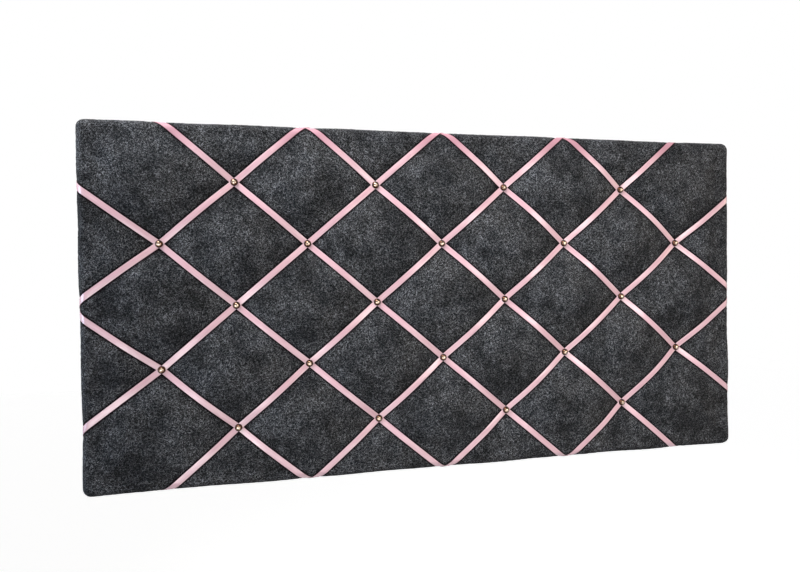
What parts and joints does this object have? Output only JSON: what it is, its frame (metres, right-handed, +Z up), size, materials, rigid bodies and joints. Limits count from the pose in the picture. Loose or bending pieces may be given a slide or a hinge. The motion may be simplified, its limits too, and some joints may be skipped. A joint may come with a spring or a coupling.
{
  "type": "french memo board",
  "caption": "Padded felt memo board crossed by satin ribbons with domed brass nails at the crossings, hung from two swinging D-rings.",
  "frame": {"origin": "middle of the board's box, halfway across its width, depth and height", "axes": "+X to the right as the front is seen, +Y from the front to the wall, +Z up as it hangs"},
  "size_m": [0.7158, 0.0316, 0.3618],
  "materials": {
    "fibreboard": "bare fibreboard",
    "wadding": "polyester wadding",
    "felt": "charcoal melange wool felt",
    "ribbon": "pink satin",
    "brass": "polished, darkened at the rim",
    "zinc_steel": "zinc plated",
    "rubber": "matte"
  },
  "bodies": {
    "board": {"backing_board": "fibreboard", "wadding": "wadding", "felt_cover": "felt", "ribbon_fall_1": "ribbon", "ribbon_fall_2": "ribbon", "ribbon_fall_3": "ribbon", "ribbon_fall_4": "ribbon", "ribbon_fall_5": "ribbon", "ribbon_fall_6": "ribbon", "ribbon_rise_1": "ribbon", "ribbon_rise_2": "ribbon", "ribbon_rise_3": "ribbon", "ribbon_rise_4": "ribbon", "ribbon_rise_5": "ribbon", "ribbon_rise_6": "ribbon", "stud_a1": "brass", "stud_a2": "brass", "stud_a3": "brass", "stud_a4": "brass", "stud_b1": "brass", "stud_b2": "brass", "stud_b3": "brass", "stud_b4": "brass", "stud_b5": "brass", "stud_c1": "brass", "stud_c2": "brass", "stud_c3": "brass", "stud_c4": "brass", "stud_d1": "brass", "stud_d2": "brass", "stud_d3": "brass", "stud_d4": "brass", "stud_d5": "brass", "stud_e1": "brass", "stud_e2": "brass", "stud_e3": "brass", "stud_e4": "brass", "hanger_strap_left": "zinc_steel", "hanger_strap_right": "zinc_steel", "hanger_screw_left": "zinc_steel", "hanger_screw_right": "zinc_steel", "wall_bumper_left": "rubber", "wall_bumper_right": "rubber"},
    "ring_left": {"hanger_ring_left": "zinc_steel"},
    "ring_right": {"hanger_ring_right": "zinc_steel"}
  },
  "joints": [
    {"name": "left_ring_swing", "type": "hinge", "parent": "board", "child": "ring_left", "pos_m": [-0.25, 0.01212, 0.1], "axis": [-1, 0, 0], "range_deg": [0, 180]},
    {"name": "right_ring_swing", "type": "hinge", "parent": "board", "child": "ring_right", "pos_m": [0.25, 0.01212, 0.1], "axis": [-1, 0, 0], "range_deg": [0, 180]}
  ]
}
